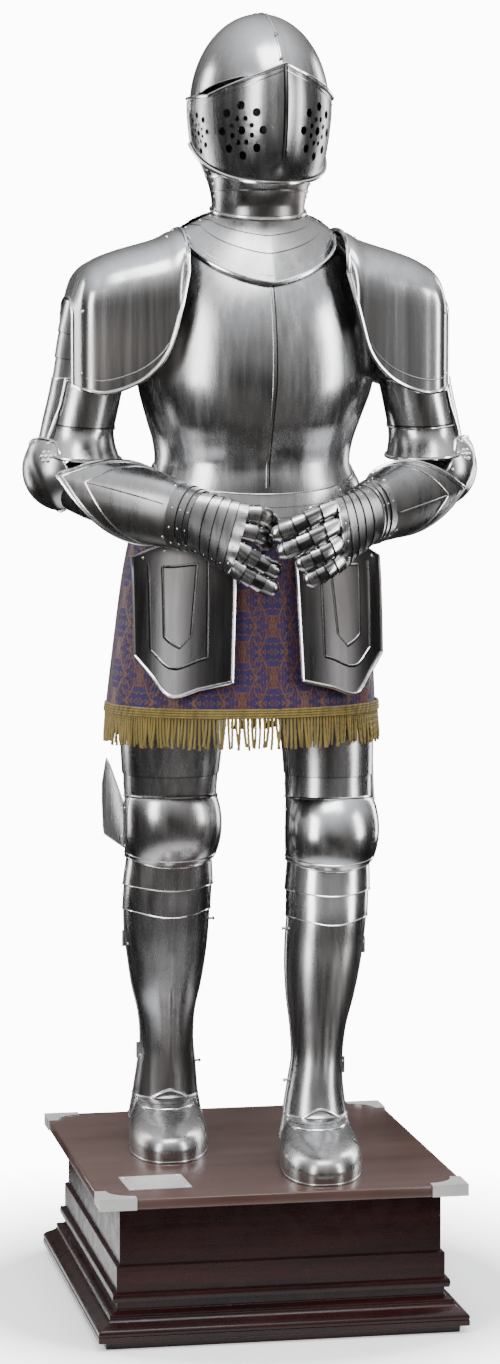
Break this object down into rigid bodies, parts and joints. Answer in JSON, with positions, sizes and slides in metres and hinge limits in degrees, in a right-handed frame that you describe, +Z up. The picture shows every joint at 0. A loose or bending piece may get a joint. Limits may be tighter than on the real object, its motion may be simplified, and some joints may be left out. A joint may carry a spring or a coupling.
{
  "type": "suit of plate armour on a wooden plinth",
  "caption": "Full plate armour in a standing pose with folded gauntlets, close helmet with a lifting pierced visor, hinged tassets and a fringed brocade skirt, on a moulded wooden plinth.",
  "frame": {"origin": "middle of the plinth's underside", "axes": "+Z up, the armour faces -Y and its left side is towards +X"},
  "size_m": [0.7374, 0.643, 2.036],
  "materials": {
    "steel": "polished by hand, faint fine scratches",
    "bright_steel": "brightly polished, faint fine scratches",
    "brocade": "woven damask, dark violet blue ground with copper brown figure",
    "fringe": "twisted olive gold threads",
    "mahogany": "dark stained and varnished",
    "board": "smooth brown satin varnish",
    "silver": "brushed"
  },
  "bodies": {
    "stand_and_suit": {"plinth_body": "mahogany", "plinth_board": "board", "bracket_front_right": "silver", "bracket_front_left": "silver", "bracket_back_right": "silver", "bracket_back_left": "silver", "nameplate": "silver", "breastplate": "steel", "backplate": "steel", "fauld_front": "bright_steel", "fauld_back": "bright_steel", "gorget_front": "steel", "gorget_back": "steel", "skirt": "brocade", "skirt_fringe": "fringe", "helmet_skull": "bright_steel", "helmet_bevor": "steel", "visor_pivot_right": "silver", "visor_pivot_left": "silver", "pauldron_right": "steel", "upper_arm_lames_right": "steel", "rerebrace_right": "bright_steel", "couter_right": "steel", "gauntlet_cuff_right": "steel", "vambrace_right": "steel", "gauntlet_hand_right": "steel", "greave_front_right": "steel", "greave_back_right": "steel", "poleyn_right": "bright_steel", "cuisse_right": "steel", "poleyn_wing_right": "steel", "sabaton_right": "steel", "finger_right_1": "bright_steel", "finger_right_2": "bright_steel", "finger_right_3": "bright_steel", "finger_right_4": "bright_steel", "pauldron_left": "steel", "upper_arm_lames_left": "steel", "rerebrace_left": "bright_steel", "couter_left": "steel", "gauntlet_cuff_left": "steel", "vambrace_left": "steel", "gauntlet_hand_left": "steel", "greave_front_left": "steel", "greave_back_left": "steel", "poleyn_left": "bright_steel", "cuisse_left": "steel", "poleyn_wing_left": "steel", "sabaton_left": "steel", "finger_left_1": "bright_steel", "finger_left_2": "bright_steel", "finger_left_3": "bright_steel", "finger_left_4": "bright_steel"},
    "visor": {"helmet_visor": "steel"},
    "tasset_right": {"tasset_right": "steel"},
    "tasset_left": {"tasset_left": "steel"}
  },
  "joints": [
    {"name": "visor_lift", "type": "hinge", "parent": "stand_and_suit", "child": "visor", "pos_m": [0.026, 0.04, 1.89], "axis": [-0.9976, -0.0698, 0], "range_deg": [0, 48]},
    {"name": "tasset_right_swing", "type": "hinge", "parent": "stand_and_suit", "child": "tasset_right", "pos_m": [-0.066, -0.071, 1.2345], "axis": [-0.9545, 0.2982, 0], "range_deg": [0, 8]},
    {"name": "tasset_left_swing", "type": "hinge", "parent": "stand_and_suit", "child": "tasset_left", "pos_m": [0.09, -0.071, 1.2345], "axis": [-0.9545, -0.2982, 0], "range_deg": [0, 8]}
  ]
}
